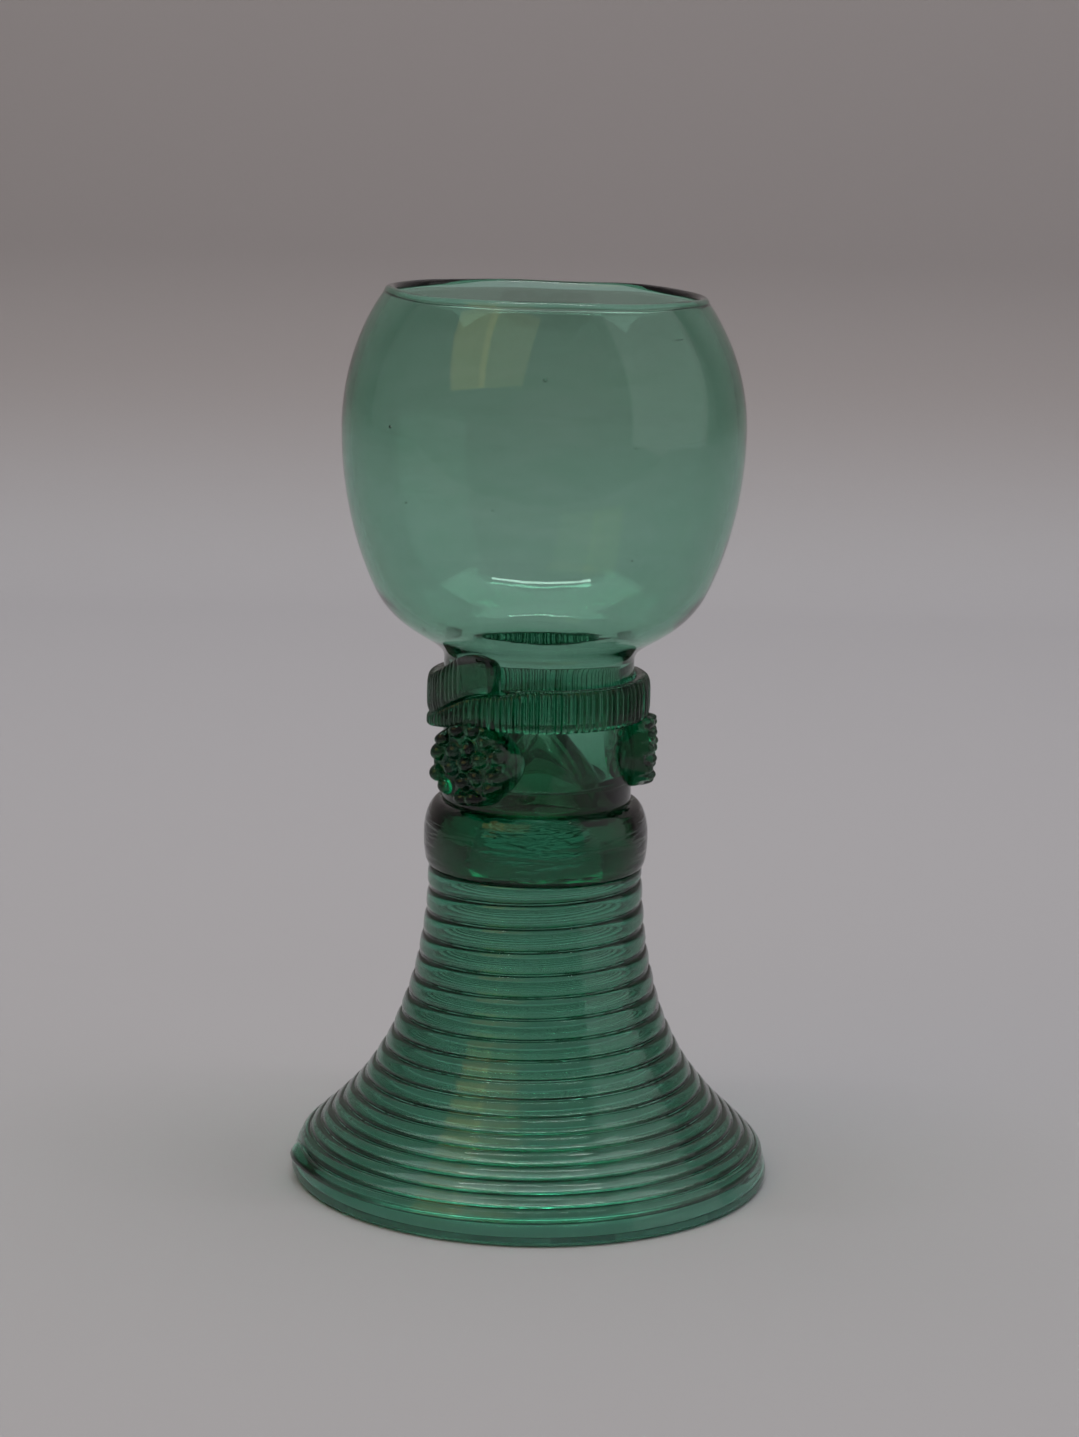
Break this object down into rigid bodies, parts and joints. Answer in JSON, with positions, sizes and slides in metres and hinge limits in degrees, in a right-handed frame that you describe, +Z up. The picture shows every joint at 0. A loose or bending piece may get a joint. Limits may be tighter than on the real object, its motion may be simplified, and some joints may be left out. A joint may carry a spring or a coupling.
{
  "type": "roemer wine glass",
  "caption": "Green glass roemer: an ovoid drinking bowl on a hollow stem with a milled collar and raspberry prunts, above a knop and a flared foot wound with glass thread.",
  "frame": {"origin": "centre of the foot at the level it stands on", "axes": "+Z up along the axis of the glass, -Y towards the front of the picture, +X to its right"},
  "size_m": [0.0808, 0.0808, 0.149],
  "materials": {
    "bowl_glass": "blown green glass, clear and fire-polished",
    "trail_glass": "thick applied green glass, milled and stamped while hot",
    "foot_glass": "wound green glass, its turns melted together"
  },
  "bodies": {
    "root": {"bowl": "bowl_glass", "stem": "bowl_glass", "milled_collar": "trail_glass", "prunt_front": "trail_glass", "prunt_right": "trail_glass", "prunt_back": "trail_glass", "foot_knop": "foot_glass", "foot_wall": "foot_glass", "foot_thread": "foot_glass"}
  },
  "joints": []
}
